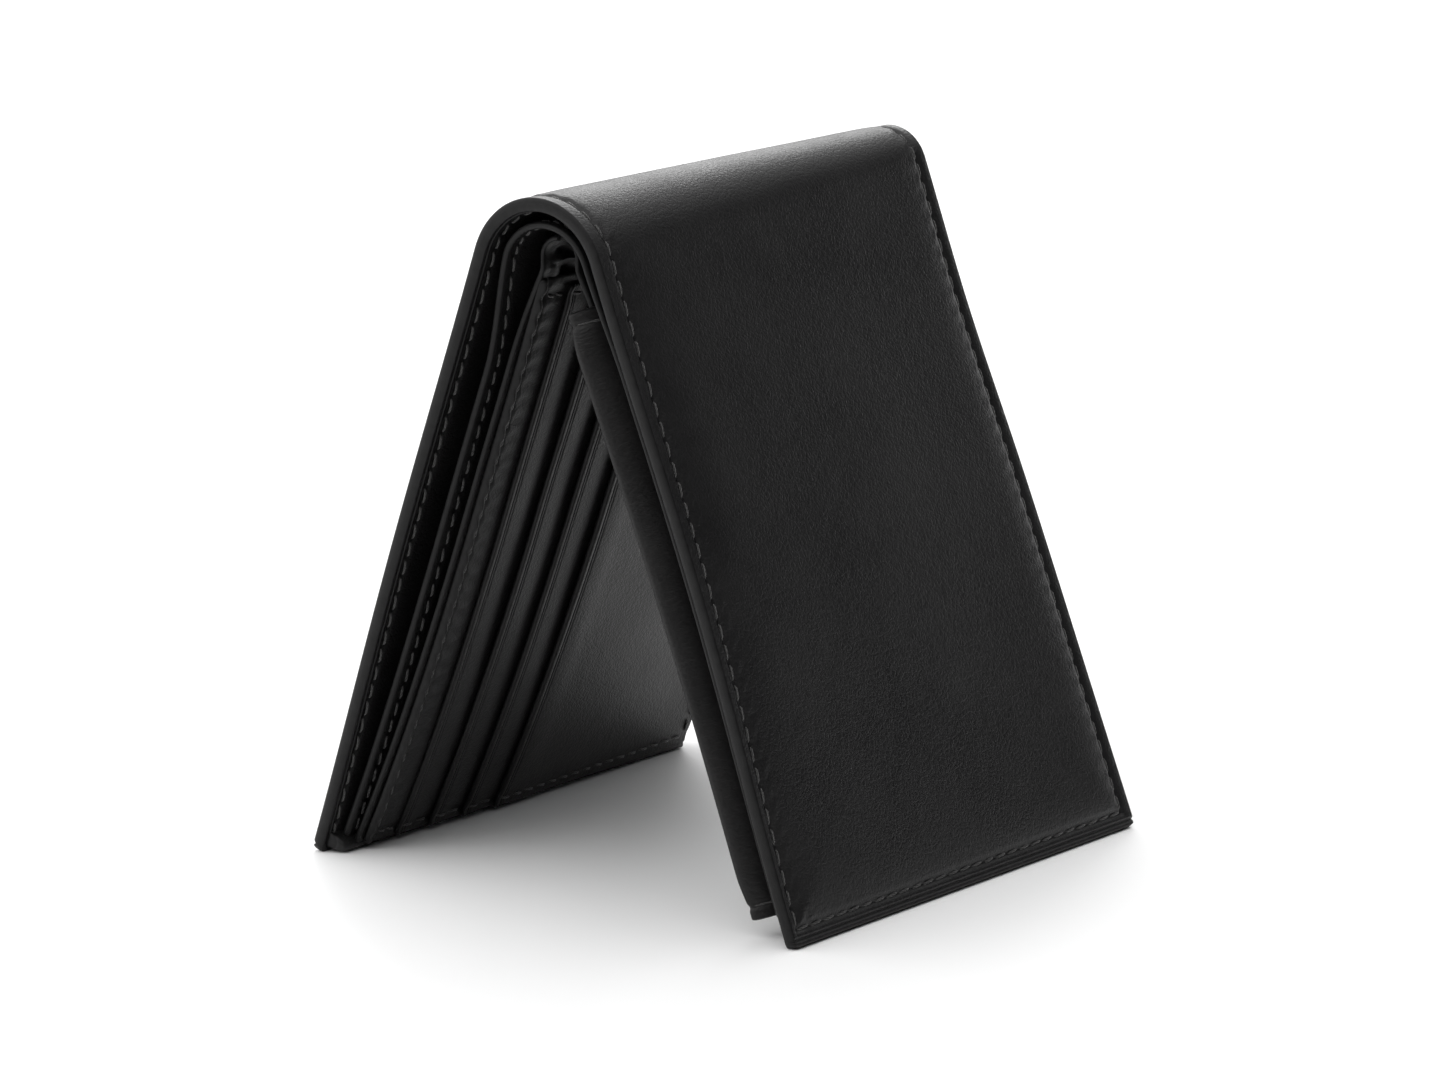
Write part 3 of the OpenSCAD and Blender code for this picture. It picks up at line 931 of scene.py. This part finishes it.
def add_slip_pocket():
    thick = 0.8
    edge, far = NEAR + 7.0, FAR - 2.2
    mid = [(edge, 6.3), (FAR - 15, 6.3), (far, 4.1)]

    def depth(run, y):
        flat_part = smooth((FAR - 9 - y) / 8)
        return along_path(mid, y) + case_shift(run) * flat_part

    place = layer_place(RIGHT, depth)

    def inner(run, y):
        ends = bump(run - HEM_TOP - HEM_STITCH, 0.6) + bump(HEM_LOW - HEM_STITCH - run, 0.6)
        return 0.14 * bump(y - edge - 0.6, 0.5) - 0.15 * bump(y - edge - 1.3, 0.15) - 0.16 * ends

    a = lines(HEM_TOP, HEM_LOW, 0.9, thick / 2, thick / 2)
    b = lines(edge, far, 1.6, thick / 2, thick / 2, [(edge + 1.2, 0.8, 0.12), (far - 1.6, 0.8, 0.25)])
    panel = sheet("slip_pocket_leather", a, b, place, thick, [POCKET, PAINT], None, inner, False, 0.8,
                  None, 160)
    finish_piece(panel, ["slip_pocket"], body="right_half")

    def level(run, y):
        return thick / 2 + inner(run, y) + 0.03

    ends = (HEM_TOP + HEM_STITCH, HEM_LOW - HEM_STITCH)
    rows = [(place, "b", run, edge + 1, far - 1.6, level, 1) for run in ends]
    rows.append((place, "a", far - 1.6, HEM_TOP + ROW_END, HEM_LOW - ROW_END, level, 1))
    thread = stitches("slip_pocket_stitches", rows, THREADS)
    finish_piece(thread, ["slip_thread"], body="right_half")


CASE_BACK_N, CASE_FRONT_N = 5.2, 9.0
CASE_R = (CASE_FRONT_N - CASE_BACK_N) / 2
CASE_BEND_Y = NEAR + 2.3 + CASE_R + 0.4
CASE_BACK_LEN = FAR - 17 - CASE_BEND_Y
CASE_FRONT_LEN = FAR - 7 - CASE_BEND_Y
CASE_BEND_LEN = math.pi * CASE_R
CASE_MID_Y = (CASE_BEND_Y + FAR - 7) / 2


def case_place(run, t, offset):
    """t runs along the back leaf, round the rolled edge and along the front leaf."""
    run, t, offset = np.broadcast_arrays(run, t, offset)
    on_back = t < CASE_BACK_LEN
    on_front = t > CASE_BACK_LEN + CASE_BEND_LEN
    angle = np.clip((t - CASE_BACK_LEN) / CASE_R, 0, math.pi)
    middle_n = (CASE_BACK_N + CASE_FRONT_N) / 2
    radius = CASE_R + offset
    depth = middle_n - np.cos(angle) * radius
    y = CASE_BEND_Y - np.sin(angle) * radius
    y = np.where(on_back, CASE_BEND_Y + CASE_BACK_LEN - t, y)
    y = np.where(on_front, CASE_BEND_Y + t - CASE_BACK_LEN - CASE_BEND_LEN, y)
    y = y + np.clip(CASE_FRONT_N + 0.4 - depth, 0, None) * (1 - smooth((y - CASE_BEND_Y) / 14))
    return half_point(RIGHT, run, y, depth + case_shift(run))


def add_passcase():
    thick = 0.85
    total = CASE_BACK_LEN + CASE_BEND_LEN + CASE_FRONT_LEN
    bend_mid = CASE_BACK_LEN + CASE_BEND_LEN / 2
    hem = 2.1

    def outer(run, t):
        """The face that shows: the roll is plump, and pulled in at its two hems."""
        plump = 1.7 * bump(t - bend_mid - 1.6, CASE_BEND_LEN * 0.6)
        body = smooth((run - CASE_TOP - 1) / 6) * smooth((CASE_LOW - run - 1) / 6)
        hems = bump(run - CASE_TOP - hem, 0.42) + bump(CASE_LOW - hem - run, 0.42)
        marks = bump(t / 2.6 - np.round(t / 2.6), 0.2)
        fold = 0.12 * ripple(run, t, 66, 3.2) * bump(run - CASE_TOP - 4, 4) * bump(t - bend_mid, 7)
        return plump * (0.7 + 0.3 * body) - (0.26 + 0.12 * marks) * hems + fold

    a = lines(CASE_TOP, CASE_LOW, 0.9, thick / 2, thick / 2,
              [(CASE_TOP + hem, 1.0, 0.15), (CASE_LOW - hem, 1.0, 0.15)])
    b = lines(0, total, 1.8, thick / 2, thick / 2, [(bend_mid, CASE_BEND_LEN * 0.9, 0.35)])

    def flipped(run, t, offset):
        return case_place(run, t, -offset)

    strip = sheet("passcase_leather", a, b, flipped, thick, [POCKET, PAINT], outer, None, False, 1.0,
                  None, 180, lambda run, t: np.minimum(run - CASE_TOP, CASE_LOW - run) - hem)
    finish_piece(strip,
                 ["passcase_back_leaf", "passcase_roll", "passcase_front_leaf"], body="passcase")

    def level(run, t):
        return -(thick / 2 + outer(run, t) + 0.02)

    rows = [(flipped, "b", run, CASE_BACK_LEN - 8, CASE_BACK_LEN + CASE_BEND_LEN + 1.5, level, -1)
            for run in (CASE_TOP + hem, CASE_LOW - hem)]
    rows += add_window_frame(hem)
    thread = stitches("passcase_stitches", rows, THREADS, slant=0.1)
    finish_piece(thread, ["passcase_thread"], body="passcase")
    add_case_cloth()


def ring_frame(name, outline_out, outline_in, corner_out, corner_in, depth_place, thick, material):
    """A flat frame with round corners and round rims, between two rectangles (half run, half y)."""
    turns = 12
    rounds = [0, 0.3, 0.6, 0.85, 1.0]

    def outline(half, corner, grow):
        points = []
        for quarter in range(4):
            sa = (1, -1, -1, 1)[quarter]
            sb = (1, 1, -1, -1)[quarter]
            ca, cb = sa * (half[0] - corner), sb * (half[1] - corner)
            for i in range(turns + 1):
                angle = math.pi / 2 * (quarter + i / turns)
                r = corner + grow
                points.append((ca + r * math.cos(angle), cb + r * math.sin(angle)))
        return dense(points)

    def dense(points):
        out = []
        for i, p in enumerate(points):
            q = points[(i + 1) % len(points)]
            parts = max(1, int(math.dist(p, q) / 1.5)) if i % (turns + 1) == turns else 1
            out += [(mix(p[0], q[0], j / parts), mix(p[1], q[1], j / parts)) for j in range(parts)]
        return out

    out_ring = np.array(outline(outline_out, corner_out, 0))
    angle_of = np.linspace(0, 1, len(out_ring), endpoint=False)
    in_raw = np.array(outline(outline_in, corner_in, 0))
    in_ring = np.stack([np.interp(angle_of, np.linspace(0, 1, len(in_raw), endpoint=False), in_raw[:, i],
                                  period=1) for i in (0, 1)], -1)
    width = np.linalg.norm(out_ring - in_ring, axis=1)[:, None]
    inward = (in_ring - out_ring) / width
    stations = []
    half = thick / 2
    for q in rounds:
        reach, lift = half * (1 - math.cos(q * math.pi / 2)), half * math.sin(q * math.pi / 2)
        stations.append((out_ring + inward * reach, lift))
    for share in (0.12, 0.25, 0.5, 0.75, 0.88):
        stations.append((mix(out_ring, in_ring, share), half * (1 + 0.25 * math.sin(share * math.pi))))
    for q in rounds[::-1]:
        reach, lift = half * (1 - math.cos(q * math.pi / 2)), half * math.sin(q * math.pi / 2)
        stations.append((in_ring - inward * reach, lift))
    count, total = len(out_ring), len(stations)
    points, flats, rims = [], [], []
    for sign in (1, -1):
        for place, lift in stations:
            points.append(depth_place(place[:, 0], place[:, 1], sign * lift))
            flats.append(np.stack([place[:, 0], place[:, 1], np.full(count, 190.0 + sign)], -1))
            rims.append(np.minimum(np.linalg.norm(place - out_ring, axis=1),
                                   np.linalg.norm(place - in_ring, axis=1)))
    faces = []
    for layer in range(2):
        for i in range(total - 1):
            for j in range(count):
                k = (j + 1) % count
                base = layer * total * count
                quad = [base + i * count + j, base + i * count + k,
                        base + (i + 1) * count + k, base + (i + 1) * count + j]
                faces.append(quad if layer == 0 else quad[::-1])
    points = np.concatenate(points)
    piece = mesh_from(name, points, faces, material,
                      values={"flat": np.concatenate(flats), "rim": np.concatenate(rims),
                              "seam": np.full(len(points), 9.0)})
    work = bmesh.new()
    work.from_mesh(piece.data)
    bmesh.ops.remove_doubles(work, verts=work.verts, dist=2e-6)
    bmesh.ops.recalc_face_normals(work, faces=work.faces)
    work.to_mesh(piece.data)
    work.free()
    return piece


def add_window_frame(hem):
    """The clear window on the front leaf, and the leather frame sewn over its rim."""
    mid_run = (CASE_TOP + CASE_LOW) / 2
    window = (33.0, 28.0)
    outer = ((CASE_LOW - CASE_TOP) / 2 - 0.5, (FAR - 7 - CASE_BEND_Y) / 2 - 0.4)
    frame_n = CASE_FRONT_N + 0.98

    def frame_place(run, y, offset):
        run = mid_run + run
        return half_point(RIGHT, run, CASE_MID_Y + y, frame_n + offset + case_shift(run))

    piece = ring_frame("passcase_frame_leather", outer, window, 3.0, 2.5, frame_place, 0.7,
                       [POCKET])
    finish_piece(piece, ["passcase_frame"], body="passcase")

    def film_place(run, y, offset):
        return half_point(RIGHT, run, y, CASE_FRONT_N + 0.52 + offset + case_shift(run))

    a = lines(mid_run - window[0] - 1.5, mid_run + window[0] + 1.5, 2.0, 0.07, 0.07)
    b = lines(CASE_MID_Y - window[1] - 1.5, CASE_MID_Y + window[1] + 1.5, 2.0, 0.07, 0.07)
    film = sheet("passcase_window_film", a, b, film_place, 0.14, [FILM], layer=200)
    finish_piece(film, ["passcase_window"], body="passcase")

    def level(run, y):
        return np.full(np.shape(run + y), 0.38)

    edge_run, edge_y = outer[0] - hem + 0.3, outer[1] - 1.8
    in_run, in_y = window[0] + 1.6, window[1] + 1.6
    rows = []
    for reach_run, reach_y in ((edge_run, edge_y), (in_run, in_y)):
        for sign in (-1, 1):
            rows.append((frame_place, "b", sign * reach_run, -reach_y, reach_y, level, 1))
            rows.append((frame_place, "a", sign * reach_y, -reach_run, reach_run, level, 1))
    return rows


def add_case_cloth():
    def place(run, y, offset):
        return half_point(RIGHT, run, y, CASE_FRONT_N - 0.56 + offset + case_shift(run))

    a = lines(CASE_TOP + 1.2, CASE_LOW - 1.2, 1.5, 0.1, 0.1)
    b = lines(CASE_BEND_Y + 1, FAR - 8.5, 1.5, 0.1, 0.1)
    cloth = sheet("passcase_lining_cloth", a, b, place, 0.2, [CLOTH], layer=210)
    finish_piece(cloth, ["passcase_cloth"], body="passcase")


# ---------------------------------------------------------------- build everything

add_camera()
add_studio()
for half in (LEFT, RIGHT):
    add_cover(half)
    add_divider(half)
    add_inner_wall(half)
add_card_side()
add_slip_pocket()
add_passcase()
